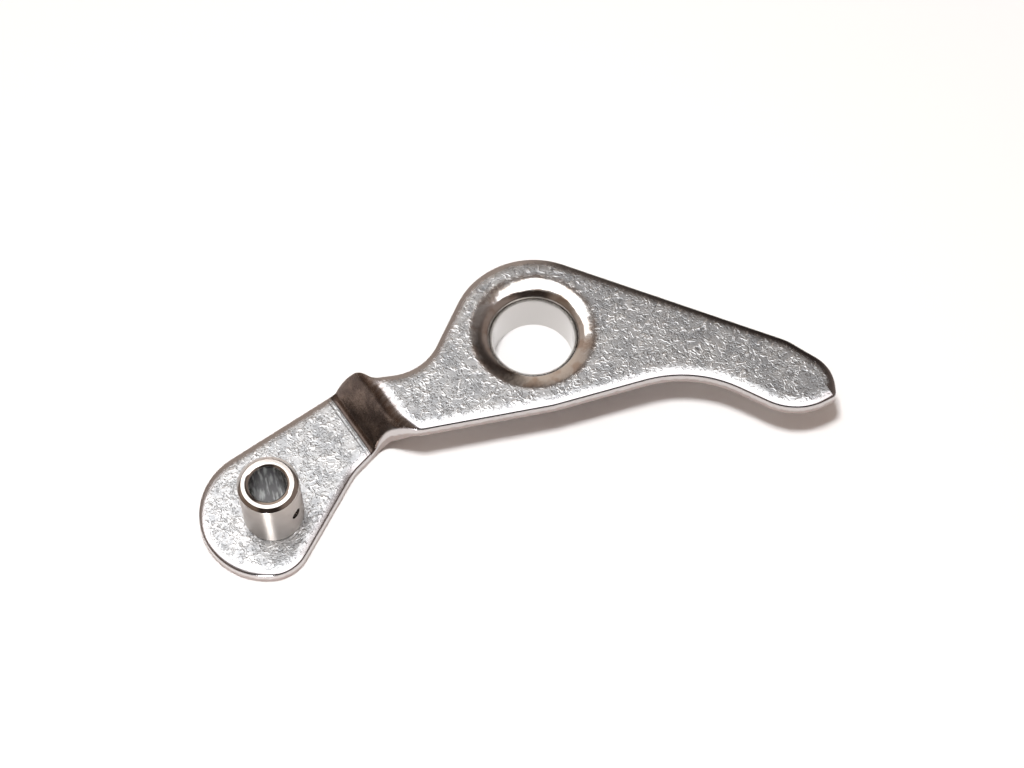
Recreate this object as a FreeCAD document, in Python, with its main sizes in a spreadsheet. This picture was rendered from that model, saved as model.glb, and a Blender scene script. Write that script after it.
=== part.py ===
import FreeCAD, Part
import math
import os
import Sketcher

# Driving sizes in millimetres, with angles in degrees: alias, value, what it is.
SIZES = [
    ("sheet_thickness", 2.0, "thickness of the pressed sheet"),
    ("joggle_rise", 6.0, "upper plate's underside over the pin plate's underside"),
    ("joggle_distance", 18.6, "pivot axis to the end of the upper bend"),
    ("bend_angle", 60.0, "slope of the joggle"),
    ("bend_radius", 1.0, "inside radius of both bends"),
    ("edge_round", 0.35, "rounding of the upper rim by blanking and tumbling"),
    ("boss_radius", 10.3, "round of the sheet about the pivot"),
    ("bore_radius", 5.0, "pivot bore"),
    ("lead_in", 2.0, "radius that leads into the bore"),
    ("dish_radius", 6.0, "shallow radius between the upper face and that lead-in"),
    ("dish_angle", 15.0, "slope at which the shallow radius meets the lead-in"),
    ("collar_wall", 1.4, "wall of the drawn collar"),
    ("collar_root", 0.5, "radius between collar and underside"),
    ("collar_edge", 0.2, "broken edge round the collar's foot"),
    ("pin_spacing", 38.5, "pivot axis to roller pin axis"),
    ("pin_end_radius", 8.6, "round of the pin plate's end"),
    ("pin_end_back", 0.35, "centre of that round beyond the pin"),
    ("pin_end_side", 0.65, "centre of that round towards the far edge"),
    ("heel_radius", 5.0, "tighter round on the end's near side"),
    ("heel_angle", 60.0, "lean of the heel's centre below the end's centre"),
    ("knee_back", 8.9, "upper bend back to the knee, where the near edge kinks"),
    ("knee_side", 0.9, "knee beside the centre line, near side"),
    ("knee_radius", 7.0, "round of the knee"),
    ("notch_back", 3.5, "upper bend back to the notch on the slope"),
    ("notch_side", 0.5, "notch beside the centre line, far side"),
    ("notch_radius", 2.0, "round of the notch"),
    ("hip_back", 0.35, "upper bend back to the hip, where the near edge turns"),
    ("flank_angle", 23.0, "slope of the near edge from the hip to the boss"),
    ("hip_radius", 2.8, "round of the hip"),
    ("neck_forward", 4.5, "upper bend forward to the neck on the far edge"),
    ("neck_side", 3.25, "neck beside the centre line, far side"),
    ("neck_radius", 6.85, "round of the neck"),
    ("foot_back", 1.0, "upper bend back to the shoulder's foot"),
    ("foot_radius", 2.0, "round of the shoulder's foot"),
    ("shoulder_back", 1.45, "shoulder's foot back to the shoulder"),
    ("shoulder_drop", 3.5, "shoulder's foot in from the pin plate's far edge"),
    ("shoulder_side", 9.5, "pin plate's far edge beside the centre line"),
    ("shoulder_radius", 3.4, "round of the shoulder"),
    ("finger_angle", 55.5, "finger's straight back below the centre line"),
    ("finger_reach", 37.75, "pivot axis to the finger's tip, along the finger"),
    ("tip_inset", 4.95, "tip in from the finger's straight back"),
    ("tip_radius", 0.8, "round of the tip"),
    ("toe_back", 3.5, "tip back to the toe"),
    ("toe_inset", 9.25, "toe in from the finger's straight back"),
    ("toe_radius", 7.6, "round of the toe"),
    ("belly_angle", 17.6, "slope of the near edge from the boss to the waist"),
    ("finger_taper", 6.4, "lean of the finger's near edge away from its straight back"),
    ("waist_radius", 15.2, "round of the waist, where those two edges meet"),
    ("brow_back", 1.65, "tip back to the brow"),
    ("brow_inset", 1.45, "brow in from the finger's straight back"),
    ("brow_radius", 5.0, "round of the brow"),
    ("crown_back", 8.1, "tip back to the crown, where the straight back ends"),
    ("crown_radius", 6.0, "round of the crown"),
    ("pin_radius", 3.75, "roller pin, where the roller turns"),
    ("pin_height", 9.05, "pin over the pin plate's upper face"),
    ("pin_round", 0.6, "rounding of the pin's upper outer edge"),
    ("oil_bore_radius", 2.2, "oil bore along the pin"),
    ("oil_bore_chamfer", 0.35, "chamfer at the mouth of the oil bore"),
    ("oil_hole_radius", 0.75, "oil hole through the pin's wall"),
    ("oil_hole_height", 4.45, "oil hole over the pin plate's upper face"),
    ("oil_hole_angle", 66.0, "direction of the oil hole below the centre line"),
    ("spigot_radius", 3.0, "riveted end of the pin inside the sheet"),
    ("swage_width", 0.5, "flare of the riveted end, flush with the underside"),
    ("rivet_clearance", 0.03, "gap round the riveted end"),
]

# How far a cutting or trimmed shape reaches past the outline.
OVERCUT = 5.0
# Closest that two edges lie when they count as the same place.
SAME_PLACE = 1e-4
# A coordinate that stays on the pivot's or the pin's own axis.
ON_AXIS = "0"


def fill_sheet(doc):
    """Write every driving size into the spreadsheet, one row each, with its alias."""
    sheet = doc.addObject("Spreadsheet::Sheet", "Sizes")
    for row, (alias, value, meaning) in enumerate(SIZES, start=1):
        sheet.set("A%d" % row, meaning)
        sheet.set("B%d" % row, str(value))
        sheet.setAlias("B%d" % row, alias)
    doc.recompute()
    return sheet


def value_of(body, expression):
    """What an expression on the sheet comes to now."""
    return float(body.Document.Sizes.evalExpression(expression))


def new_sketch(body, name, role):
    """A sketch on one of the body's own origin planes."""
    plane = [f for f in body.Origin.OriginFeatures if f.Role == role][0]
    sketch = body.newObject("Sketcher::SketchObject", name)
    sketch.AttachmentSupport = [(plane, "")]
    sketch.MapMode = "FlatFace"
    return sketch


def bind(sketch, constraint, name, expression):
    """Add a dimension and tie it to the sheet."""
    index = sketch.addConstraint(constraint)
    sketch.renameConstraint(index, name)
    sketch.setExpression("Constraints." + name, expression)


def place_point(sketch, geometry, point, name, x_size, y_size):
    """Dimension a sketch point from the sketch's origin."""
    for axis, size in (("X", x_size), ("Y", y_size)):
        now = value_of(sketch, size)
        constraint = Sketcher.Constraint("Distance" + axis, -1, 1, geometry, point, now)
        bind(sketch, constraint, name + "_" + axis.lower(), size)


def set_radius(sketch, geometry, name, radius_size):
    constraint = Sketcher.Constraint("Radius", geometry, value_of(sketch, radius_size))
    bind(sketch, constraint, name + "_radius", radius_size)


def draw_circle(sketch, name, x_size, y_size, radius_size):
    centre = FreeCAD.Vector(value_of(sketch, x_size), value_of(sketch, y_size), 0)
    circle = Part.Circle(centre, FreeCAD.Vector(0, 0, 1), value_of(sketch, radius_size))
    index = sketch.addGeometry(circle, False)
    place_point(sketch, index, 3, name, x_size, y_size)
    set_radius(sketch, index, name, radius_size)


def draw_polygon(sketch, name, corners):
    """Straight closed outline; each corner is a pair of expressions."""
    points = [FreeCAD.Vector(value_of(sketch, x), value_of(sketch, y), 0) for x, y in corners]
    lines = []
    for start, end in zip(points, points[1:] + points[:1]):
        lines.append(sketch.addGeometry(Part.LineSegment(start, end), False))
    for number, (x_size, y_size) in enumerate(corners):
        sketch.addConstraint(Sketcher.Constraint("Coincident", lines[number - 1], 2, lines[number], 1))
        place_point(sketch, lines[number], 1, "%s%d" % (name, number), x_size, y_size)


def tangent_run(first, second):
    """Start, end and heading of the straight run between two nodes of an outline."""
    length = math.hypot(second.x - first.x, second.y - first.y)
    lean = max(-1.0, min(1.0, (second.reach - first.reach) / length))
    heading = math.atan2(second.y - first.y, second.x - first.x) - math.asin(lean)
    left_x, left_y = -math.sin(heading), math.cos(heading)
    start = (first.x - left_x * first.reach, first.y - left_y * first.reach)
    end = (second.x - left_x * second.reach, second.y - left_y * second.reach)
    return start, end, heading


class Corner:
    """A corner of an outline: the point where its two straight runs meet, and its fillet."""

    def __init__(self, sketch, name, x_size, y_size, radius_size):
        self.name = name
        self.x_size, self.y_size, self.radius_size = x_size, y_size, radius_size
        self.x, self.y = value_of(sketch, x_size), value_of(sketch, y_size)
        self.radius = value_of(sketch, radius_size)
        self.reach = 0.0

    def arc(self, before, after):
        """Centre of the round and the angle it turns through, positive to the left."""
        turn = math.remainder(after - before, 2 * math.pi)
        side = math.copysign(self.radius, turn)
        cut = self.radius * math.tan(abs(turn) / 2)
        x = self.x - cut * math.cos(before) - side * math.sin(before)
        y = self.y - cut * math.sin(before) + side * math.cos(before)
        return (x, y), turn

    def dimension(self, sketch, arc, line_before, line_after):
        mark = sketch.addGeometry(Part.Point(FreeCAD.Vector(self.x, self.y, 0)), True)
        for line in (line_before, line_after):
            sketch.addConstraint(Sketcher.Constraint("PointOnObject", mark, 1, line))
        place_point(sketch, mark, 1, self.name, self.x_size, self.y_size)
        set_radius(sketch, arc, self.name, self.radius_size)


class Round(Corner):
    """A convex round of an outline, given by its centre."""

    def __init__(self, sketch, name, x_size, y_size, radius_size):
        super().__init__(sketch, name, x_size, y_size, radius_size)
        self.reach = self.radius

    def arc(self, before, after):
        return (self.x, self.y), (after - before) % (2 * math.pi)

    def dimension(self, sketch, arc, line_before, line_after):
        place_point(sketch, arc, 3, self.name, self.x_size, self.y_size)
        set_radius(sketch, arc, self.name, self.radius_size)


class RollingRound(Round):
    """A convex round that rolls inside the round before it, so its height alone places it."""

    def dimension(self, sketch, arc, line_before, line_after):
        constraint = Sketcher.Constraint("DistanceY", -1, 1, arc, 3, self.y)
        bind(sketch, constraint, self.name + "_y", self.y_size)
        set_radius(sketch, arc, self.name, self.radius_size)


def draw_outline(sketch, nodes):
    """Closed outline, anticlockwise: a round at each node, joined by tangent straight runs."""
    runs = [tangent_run(a, b) for a, b in zip(nodes, nodes[1:] + nodes[:1])]
    arcs = []
    for number, node in enumerate(nodes):
        before, after = runs[number - 1][2], runs[number][2]
        (x, y), turn = node.arc(before, after)
        first = before - math.copysign(math.pi / 2, turn)
        last = first + turn
        circle = Part.Circle(FreeCAD.Vector(x, y, 0), FreeCAD.Vector(0, 0, 1), node.radius)
        span = (first, last) if turn > 0 else (last, first)
        index = sketch.addGeometry(Part.ArcOfCircle(circle, span[0], span[1]), False)
        start, end = (1, 2) if turn > 0 else (2, 1)
        arcs.append((index, start, end, sketch.getPoint(index, start), sketch.getPoint(index, end)))
    lines = []
    for (arc, _, end, _, leave), (onward, start, _, arrive, _) in zip(arcs, arcs[1:] + arcs[:1]):
        if leave.distanceToPoint(arrive) < SAME_PLACE:
            sketch.addConstraint(Sketcher.Constraint("Tangent", arc, end, onward, start))
            lines.append(None)
            continue
        line = sketch.addGeometry(Part.LineSegment(leave, arrive), False)
        sketch.addConstraint(Sketcher.Constraint("Tangent", arc, end, line, 1))
        sketch.addConstraint(Sketcher.Constraint("Tangent", line, 2, onward, start))
        lines.append(line)
    for number, node in enumerate(nodes):
        node.dimension(sketch, arcs[number][0], lines[number - 1], lines[number])


def finger_corner(sketch, name, along, across):
    """A corner of the finger, placed along the finger and across it from the pivot's axis."""
    x_size = "(%s) * cos(Sizes.finger_angle) + (%s) * sin(Sizes.finger_angle)" % (along, across)
    y_size = "(%s) * cos(Sizes.finger_angle) - (%s) * sin(Sizes.finger_angle)" % (across, along)
    return Corner(sketch, name, x_size, y_size, "Sizes.%s_radius" % name)


def waist_corner(sketch, toe_along, toe_across):
    """The waist, where the near edge that touches the boss meets the finger's tapered edge."""
    lean = "(Sizes.finger_angle - Sizes.belly_angle)"
    rise = "(%s) * sin(%s) - (%s) * cos(%s)" % (toe_along, lean, toe_across, lean)
    run = "(%s - Sizes.boss_radius) / sin(%s + Sizes.finger_taper)" % (rise, lean)
    along = "%s - %s * cos(Sizes.finger_taper)" % (toe_along, run)
    across = "%s + %s * sin(Sizes.finger_taper)" % (toe_across, run)
    return finger_corner(sketch, "waist", along, across)


def arm_nodes(sketch):
    """The arm's outline seen from above, from the pin plate's end along the near edge."""
    end_x = "-(Sizes.pin_spacing + Sizes.pin_end_back)"
    inside = "(Sizes.pin_end_radius - Sizes.heel_radius)"
    bend_x = "-Sizes.joggle_distance"
    foot_x = bend_x + " - Sizes.foot_back"
    hip_reach = "(Sizes.joggle_distance + Sizes.hip_back)"
    flank = "(%s * sin(Sizes.flank_angle) - Sizes.boss_radius) / cos(Sizes.flank_angle)" % hip_reach
    tip, back = "Sizes.finger_reach", "Sizes.boss_radius"
    toe = (tip + " - Sizes.toe_back", back + " - Sizes.toe_inset")
    return [
        Round(sketch, "pin_end", end_x, "Sizes.pin_end_side", "Sizes.pin_end_radius"),
        RollingRound(sketch, "heel", end_x + " - %s * cos(Sizes.heel_angle)" % inside,
                     "Sizes.pin_end_side - %s * sin(Sizes.heel_angle)" % inside, "Sizes.heel_radius"),
        Corner(sketch, "knee", bend_x + " - Sizes.knee_back", "-Sizes.knee_side", "Sizes.knee_radius"),
        Corner(sketch, "notch", bend_x + " - Sizes.notch_back", "Sizes.notch_side", "Sizes.notch_radius"),
        Corner(sketch, "hip", "-" + hip_reach, flank, "Sizes.hip_radius"),
        Round(sketch, "near_boss", ON_AXIS, ON_AXIS, "Sizes.boss_radius"),
        waist_corner(sketch, *toe),
        finger_corner(sketch, "toe", *toe),
        finger_corner(sketch, "tip", tip, back + " - Sizes.tip_inset"),
        finger_corner(sketch, "brow", tip + " - Sizes.brow_back", back + " - Sizes.brow_inset"),
        finger_corner(sketch, "crown", tip + " - Sizes.crown_back", back),
        Round(sketch, "far_boss", ON_AXIS, ON_AXIS, "Sizes.boss_radius"),
        Corner(sketch, "neck", bend_x + " + Sizes.neck_forward", "Sizes.neck_side", "Sizes.neck_radius"),
        Corner(sketch, "foot", foot_x, "Sizes.shoulder_side - Sizes.shoulder_drop", "Sizes.foot_radius"),
        Corner(sketch, "shoulder", foot_x + " - Sizes.shoulder_back", "Sizes.shoulder_side",
               "Sizes.shoulder_radius"),
    ]


def draw_joggle(sketch):
    """Section of the bent strip along the centre line, with both bends as concentric arcs."""
    rise = value_of(sketch, "Sizes.joggle_rise")
    thick = value_of(sketch, "Sizes.sheet_thickness")
    inner = value_of(sketch, "Sizes.bend_radius")
    slope = math.radians(value_of(sketch, "Sizes.bend_angle"))
    outer = inner + thick
    left_size = "-(Sizes.pin_spacing + Sizes.pin_end_back + Sizes.pin_end_radius + %s)" % OVERCUT
    left = value_of(sketch, left_size)
    right = value_of(sketch, "Sizes.finger_reach")
    upper_x = -value_of(sketch, "Sizes.joggle_distance")
    climb = rise - thick - 2 * inner
    lower_x = upper_x - (climb * math.cos(slope) + thick + 2 * inner) / math.sin(slope)
    lower = FreeCAD.Vector(lower_x, thick + inner, 0)
    upper = FreeCAD.Vector(upper_x, rise - inner, 0)
    lean = FreeCAD.Vector(math.sin(slope), -math.cos(slope), 0)

    def line(start, end):
        return sketch.addGeometry(Part.LineSegment(start, end), False)

    def arc(centre, radius, first, last):
        circle = Part.Circle(centre, FreeCAD.Vector(0, 0, 1), radius)
        return sketch.addGeometry(Part.ArcOfCircle(circle, first, last), False)

    def join(kind, first, first_point, second, second_point):
        sketch.addConstraint(Sketcher.Constraint(kind, first, first_point, second, second_point))

    down, half = -math.pi / 2, math.pi / 2
    at = FreeCAD.Vector
    pin_under = line(at(left, 0, 0), at(lower_x, 0, 0))
    lower_outer = arc(lower, outer, down, down + slope)
    slope_under = line(lower + lean * outer, upper - lean * inner)
    upper_inner = arc(upper, inner, half, half + slope)
    plate_under = line(at(upper_x, rise, 0), at(right, rise, 0))
    right_end = line(at(right, rise, 0), at(right, rise + thick, 0))
    plate_top = line(at(right, rise + thick, 0), at(upper_x, rise + thick, 0))
    upper_outer = arc(upper, outer, half, half + slope)
    slope_top = line(upper - lean * outer, lower + lean * inner)
    lower_inner = arc(lower, inner, down, down + slope)
    pin_top = line(at(lower_x, thick, 0), at(left, thick, 0))
    left_end = line(at(left, thick, 0), at(left, 0, 0))

    join("Tangent", pin_under, 2, lower_outer, 1)
    join("Tangent", lower_outer, 2, slope_under, 1)
    join("Tangent", slope_under, 2, upper_inner, 2)
    join("Tangent", upper_inner, 1, plate_under, 1)
    join("Coincident", plate_under, 2, right_end, 1)
    join("Coincident", right_end, 2, plate_top, 1)
    join("Tangent", plate_top, 2, upper_outer, 1)
    join("Tangent", upper_outer, 2, slope_top, 1)
    join("Tangent", slope_top, 2, lower_inner, 2)
    join("Tangent", lower_inner, 1, pin_top, 1)
    join("Coincident", pin_top, 2, left_end, 1)
    join("Coincident", left_end, 2, pin_under, 1)
    join("Coincident", lower_inner, 3, lower_outer, 3)
    join("Coincident", upper_inner, 3, upper_outer, 3)
    for level in (pin_under, plate_under, plate_top, pin_top):
        sketch.addConstraint(Sketcher.Constraint("Horizontal", level))
    for upright in (left_end, right_end):
        sketch.addConstraint(Sketcher.Constraint("Vertical", upright))
    sketch.addConstraint(Sketcher.Constraint("PointOnObject", pin_under, 1, -1))
    sketch.addConstraint(Sketcher.Constraint("Parallel", slope_under, slope_top))
    bind(sketch, Sketcher.Constraint("DistanceX", -1, 1, pin_under, 1, left), "strip_start", left_size)
    bind(sketch, Sketcher.Constraint("DistanceX", -1, 1, plate_under, 2, right), "strip_end",
         "Sizes.finger_reach")
    bind(sketch, Sketcher.Constraint("DistanceX", -1, 1, plate_under, 1, upper_x), "upper_bend",
         "-Sizes.joggle_distance")
    bind(sketch, Sketcher.Constraint("DistanceY", -1, 1, plate_under, 1, rise), "rise",
         "Sizes.joggle_rise")
    bind(sketch, Sketcher.Constraint("DistanceY", left_end, 2, left_end, 1, thick), "thickness",
         "Sizes.sheet_thickness")
    bind(sketch, Sketcher.Constraint("Angle", slope_under, slope), "slope", "Sizes.bend_angle")
    for bend, name in ((lower_inner, "lower_bend"), (upper_inner, "upper_bend_inside")):
        set_radius(sketch, bend, name, "Sizes.bend_radius")


def draw_bore(sketch):
    """Section of what is pierced and drawn away at the pivot: dish, lead-in and straight bore."""
    drop = "(Sizes.dish_radius * (1 - cos(Sizes.dish_angle)) + Sizes.lead_in * cos(Sizes.dish_angle))"
    top_size = "Sizes.joggle_rise + Sizes.sheet_thickness"
    wall_top_size = "%s - %s" % (top_size, drop)
    sizes = ("bore_radius", "lead_in", "dish_radius")
    radius, lead_in, dish = [value_of(sketch, "Sizes." + size) for size in sizes]
    tilt = math.radians(value_of(sketch, "Sizes.dish_angle"))
    top, wall_top = value_of(sketch, top_size), value_of(sketch, wall_top_size)
    mouth = radius + lead_in * (1 - math.sin(tilt)) + dish * math.sin(tilt)
    at = FreeCAD.Vector

    def line(start, end):
        return sketch.addGeometry(Part.LineSegment(start, end), False)

    def arc(centre, size, first, last):
        circle = Part.Circle(centre, at(0, 0, 1), size)
        return sketch.addGeometry(Part.ArcOfCircle(circle, first, last), False)

    wall = line(at(radius, -OVERCUT, 0), at(radius, wall_top, 0))
    lead = arc(at(radius + lead_in, wall_top, 0), lead_in, math.pi / 2 + tilt, math.pi)
    shallow = arc(at(mouth, top - dish, 0), dish, math.pi / 2, math.pi / 2 + tilt)
    riser = line(at(mouth, top, 0), at(mouth, top + OVERCUT, 0))
    lid = line(at(mouth, top + OVERCUT, 0), at(0, top + OVERCUT, 0))
    axis = line(at(0, top + OVERCUT, 0), at(0, -OVERCUT, 0))
    floor = line(at(0, -OVERCUT, 0), at(radius, -OVERCUT, 0))

    sketch.addConstraint(Sketcher.Constraint("Tangent", wall, 2, lead, 2))
    sketch.addConstraint(Sketcher.Constraint("Tangent", lead, 1, shallow, 2))
    sketch.addConstraint(Sketcher.Constraint("Vertical", shallow, 1, shallow, 3))
    for first, first_end, second in ((shallow, 1, riser), (riser, 2, lid), (lid, 2, axis),
                                     (axis, 2, floor), (floor, 2, wall)):
        sketch.addConstraint(Sketcher.Constraint("Coincident", first, first_end, second, 1))
    for upright in (wall, riser, axis):
        sketch.addConstraint(Sketcher.Constraint("Vertical", upright))
    for level in (lid, floor):
        sketch.addConstraint(Sketcher.Constraint("Horizontal", level))
    place_point(sketch, axis, 2, "foot", ON_AXIS, "-%s" % OVERCUT)
    place_point(sketch, wall, 2, "wall_top", "Sizes.bore_radius", wall_top_size)
    for point, size in ((riser, top_size), (lid, "%s + %s" % (top_size, OVERCUT))):
        height = Sketcher.Constraint("DistanceY", -1, 1, point, 1, value_of(sketch, size))
        bind(sketch, height, "height_%d" % point, size)
    set_radius(sketch, lead, "lead", "Sizes.lead_in")
    set_radius(sketch, shallow, "shallow", "Sizes.dish_radius")


def circles_at(shape, radius, z):
    """Names of the full circular edges of this radius at this height."""
    names = []
    for number, edge in enumerate(shape.Edges, start=1):
        curve = edge.Curve
        if not isinstance(curve, Part.Circle) or not edge.isClosed():
            continue
        if abs(curve.Radius - radius) < SAME_PLACE and abs(curve.Center.z - z) < SAME_PLACE:
            names.append("Edge%d" % number)
    return names


def outward_lift(face, point):
    """Vertical part of the face's outward normal at a point on it: 1 up, 0 on a wall."""
    u, v = face.Surface.parameter(point)
    return face.normalAt(u, v).z


def upper_rim(shape):
    """Names of the edges where the trimmed walls meet the upper side of the sheet."""
    names = []
    for number, edge in enumerate(shape.Edges, start=1):
        middle = edge.valueAt((edge.FirstParameter + edge.LastParameter) / 2)
        lifts = sorted(outward_lift(f, middle) for f in shape.ancestorsOfType(edge, Part.Face))
        if len(lifts) == 2 and abs(lifts[0]) < SAME_PLACE and lifts[1] > SAME_PLACE:
            names.append("Edge%d" % number)
    return names


def dress(body, kind, name, edges, size):
    """A fillet or chamfer on named edges of the body's last feature."""
    base = body.Tip
    feature = body.newObject("PartDesign::" + kind, name)
    feature.Base = (base, edges)
    feature.setExpression("Radius" if kind == "Fillet" else "Size", size)
    body.Document.recompute()
    return feature


def build_arm(doc):
    """The stamped, joggled and pierced sheet with its drawn collar: one piece."""
    body = doc.addObject("PartDesign::Body", "arm")
    body.Label = "arm"

    section = new_sketch(body, "JoggleSection", "XZ_Plane")
    draw_joggle(section)
    strip = body.newObject("PartDesign::Pad", "BentStrip")
    strip.Profile = section
    strip.Midplane = True
    strip.setExpression("Length", "2 * (Sizes.finger_reach + Sizes.boss_radius)")
    doc.recompute()

    trim_line = new_sketch(body, "TrimLine", "XY_Plane")
    left = "-(Sizes.pin_spacing + Sizes.pin_end_back + Sizes.pin_end_radius + %s)" % (2 * OVERCUT)
    right = "Sizes.finger_reach + %s" % OVERCUT
    side = "(Sizes.finger_reach + Sizes.boss_radius + %s)" % OVERCUT
    draw_polygon(trim_line, "scrap", [(left, "-" + side), (right, "-" + side), (right, side), (left, side)])
    draw_outline(trim_line, arm_nodes(trim_line))
    trim = body.newObject("PartDesign::Pocket", "Trim")
    trim.Profile = trim_line
    trim.Type = "ThroughAll"
    trim.Midplane = True
    doc.recompute()

    dress(body, "Fillet", "TumbledRim", upper_rim(trim.Shape), "Sizes.edge_round")

    collar_ring = new_sketch(body, "CollarRing", "XY_Plane")
    draw_circle(collar_ring, "collar", ON_AXIS, ON_AXIS,
                "Sizes.bore_radius + Sizes.collar_wall")
    collar = body.newObject("PartDesign::Pad", "Collar")
    collar.Profile = collar_ring
    collar.setExpression("Length", "Sizes.joggle_rise + Sizes.sheet_thickness / 2")
    doc.recompute()
    wall = value_of(body, "Sizes.bore_radius + Sizes.collar_wall")
    rise = value_of(body, "Sizes.joggle_rise")
    dress(body, "Fillet", "CollarRoot", circles_at(collar.Shape, wall, rise), "Sizes.collar_root")
    dress(body, "Fillet", "CollarFoot", circles_at(body.Tip.Shape, wall, 0), "Sizes.collar_edge")

    bore_section = new_sketch(body, "BoreSection", "XZ_Plane")
    draw_bore(bore_section)
    bore = body.newObject("PartDesign::Groove", "Bore")
    bore.Profile = bore_section
    bore.ReferenceAxis = (bore_section, ["V_Axis"])
    bore.Angle = 360
    doc.recompute()

    seat_ring = new_sketch(body, "PinSeatRing", "XY_Plane")
    seat_size = "Sizes.spigot_radius + Sizes.rivet_clearance"
    draw_circle(seat_ring, "seat", "-Sizes.pin_spacing", ON_AXIS, seat_size)
    seat = body.newObject("PartDesign::Pocket", "PinSeat")
    seat.Profile = seat_ring
    seat.Type = "ThroughAll"
    seat.Midplane = True
    doc.recompute()
    sink = circles_at(seat.Shape, value_of(body, seat_size), 0)
    dress(body, "Chamfer", "Countersink", sink, "Sizes.swage_width")
    return body


def build_roller_pin(doc):
    """The hollow pin that carries the roller, turned in one piece and riveted into the sheet."""
    body = doc.addObject("PartDesign::Body", "roller_pin")
    body.Label = "roller_pin"
    body.setExpression("Placement.Base.x", "-Sizes.pin_spacing")
    body.setExpression("Placement.Rotation.Angle", "90 - Sizes.oil_hole_angle")

    section = new_sketch(body, "PinSection", "XZ_Plane")
    top = "Sizes.sheet_thickness + Sizes.pin_height"
    draw_polygon(section, "turned", [
        ("Sizes.oil_bore_radius", ON_AXIS),
        ("Sizes.spigot_radius + Sizes.swage_width", ON_AXIS),
        ("Sizes.spigot_radius", "Sizes.swage_width"),
        ("Sizes.spigot_radius", "Sizes.sheet_thickness"),
        ("Sizes.pin_radius", "Sizes.sheet_thickness"),
        ("Sizes.pin_radius", top),
        ("Sizes.oil_bore_radius", top),
    ])
    turned = body.newObject("PartDesign::Revolution", "Turned")
    turned.Profile = section
    turned.ReferenceAxis = (section, ["V_Axis"])
    turned.Angle = 360
    doc.recompute()
    height = value_of(body, top)
    outer = circles_at(turned.Shape, value_of(body, "Sizes.pin_radius"), height)
    dress(body, "Fillet", "PinRound", outer, "Sizes.pin_round")
    mouth = circles_at(body.Tip.Shape, value_of(body, "Sizes.oil_bore_radius"), height)
    dress(body, "Chamfer", "OilBoreMouth", mouth, "Sizes.oil_bore_chamfer")

    drill = new_sketch(body, "OilHoleRing", "XZ_Plane")
    draw_circle(drill, "oil_hole", ON_AXIS,
                "Sizes.sheet_thickness + Sizes.oil_hole_height", "Sizes.oil_hole_radius")
    hole = body.newObject("PartDesign::Pocket", "OilHole")
    hole.Profile = drill
    hole.Type = "ThroughAll"
    hole.Reversed = True
    doc.recompute()
    return body


def check(doc, bodies):
    """Stop if any object of the document failed or any piece isn't one valid solid."""
    for item in doc.Objects:
        if "Invalid" in item.State or "Error" in item.State:
            raise RuntimeError("%s failed: %s" % (item.Name, item.State))
    for body in bodies:
        shape = body.Shape
        if shape.isNull() or not shape.isValid() or len(shape.Solids) != 1:
            raise RuntimeError("%s isn't one valid solid" % body.Label)


def main():
    doc = FreeCAD.newDocument("tensioner_arm")
    fill_sheet(doc)
    bodies = [build_arm(doc), build_roller_pin(doc)]
    doc.recompute()
    check(doc, bodies)
    os.makedirs("parts", exist_ok=True)
    for body in bodies:
        body.Shape.exportStep("parts/%s.step" % body.Label)
        print("%s: %.1f cubic mm" % (body.Label, body.Shape.Volume))


main()
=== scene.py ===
# %% [markdown]
# # A chain tensioner arm
# This lesson dresses a small lever of an engine's timing drive. The real thing has two pieces: an arm
# stamped from 2 mm sheet, and a turned, hollow pin riveted into its low end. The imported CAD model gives
# the frame, and everything here lies in that frame, in metres.

# %% Load the frame
import math

import bmesh
import bpy
from mathutils import Matrix, Vector


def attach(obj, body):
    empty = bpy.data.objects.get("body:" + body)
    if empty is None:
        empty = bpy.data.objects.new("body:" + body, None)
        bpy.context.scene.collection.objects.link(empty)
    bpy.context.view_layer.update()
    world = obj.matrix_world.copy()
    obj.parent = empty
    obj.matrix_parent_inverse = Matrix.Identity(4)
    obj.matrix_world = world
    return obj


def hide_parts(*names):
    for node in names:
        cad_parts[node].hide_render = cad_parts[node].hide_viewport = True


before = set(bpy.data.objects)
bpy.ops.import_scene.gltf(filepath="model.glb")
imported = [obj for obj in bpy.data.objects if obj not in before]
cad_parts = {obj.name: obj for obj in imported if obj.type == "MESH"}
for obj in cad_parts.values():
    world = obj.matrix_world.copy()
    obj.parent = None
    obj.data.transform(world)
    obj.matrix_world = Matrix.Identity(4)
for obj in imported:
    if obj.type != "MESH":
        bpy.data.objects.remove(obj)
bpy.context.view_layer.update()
MM = 0.001

# %% [markdown]
# ## The camera
# The photograph was taken with a long lens from well above. The camera is placed with three turns, as on
# a tripod: round the upright, down towards the table, and a small roll about its own line of sight.

# %% Camera
VIEW_AZIMUTH = math.radians(-33.233)
VIEW_ELEVATION = math.radians(64.563)
VIEW_ROLL = math.radians(-1.111)
camera_data = bpy.data.cameras.new("Camera")
camera_data.sensor_width = 36.0
camera_data.lens = 98.44
camera = bpy.data.objects.new("Camera", camera_data)
bpy.context.scene.collection.objects.link(camera)
camera.matrix_world = (Matrix.Translation((-0.08705, -0.12782, 0.31815))
                       @ Matrix.Rotation(VIEW_AZIMUTH, 4, "Z")
                       @ Matrix.Rotation(math.pi / 2 - VIEW_ELEVATION, 4, "X")
                       @ Matrix.Rotation(VIEW_ROLL, 4, "Z"))
bpy.context.scene.camera = camera
print("camera stands", round(camera.location.length, 3), "m from the pivot")

# %% [markdown]
# ## The stamping's outline
# A press tool's outline is a chain of arcs joined by straight runs that touch them. Each arc could be
# typed in as points, but it is cleaner to spin one vertex about the arc's centre. A ring drawn further in
# has the same centres: its outward rounds get smaller and its hollows larger, by the same distance. The
# rings have equally many vertices, so a bridge between two of them is a clean band of quads.

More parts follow.
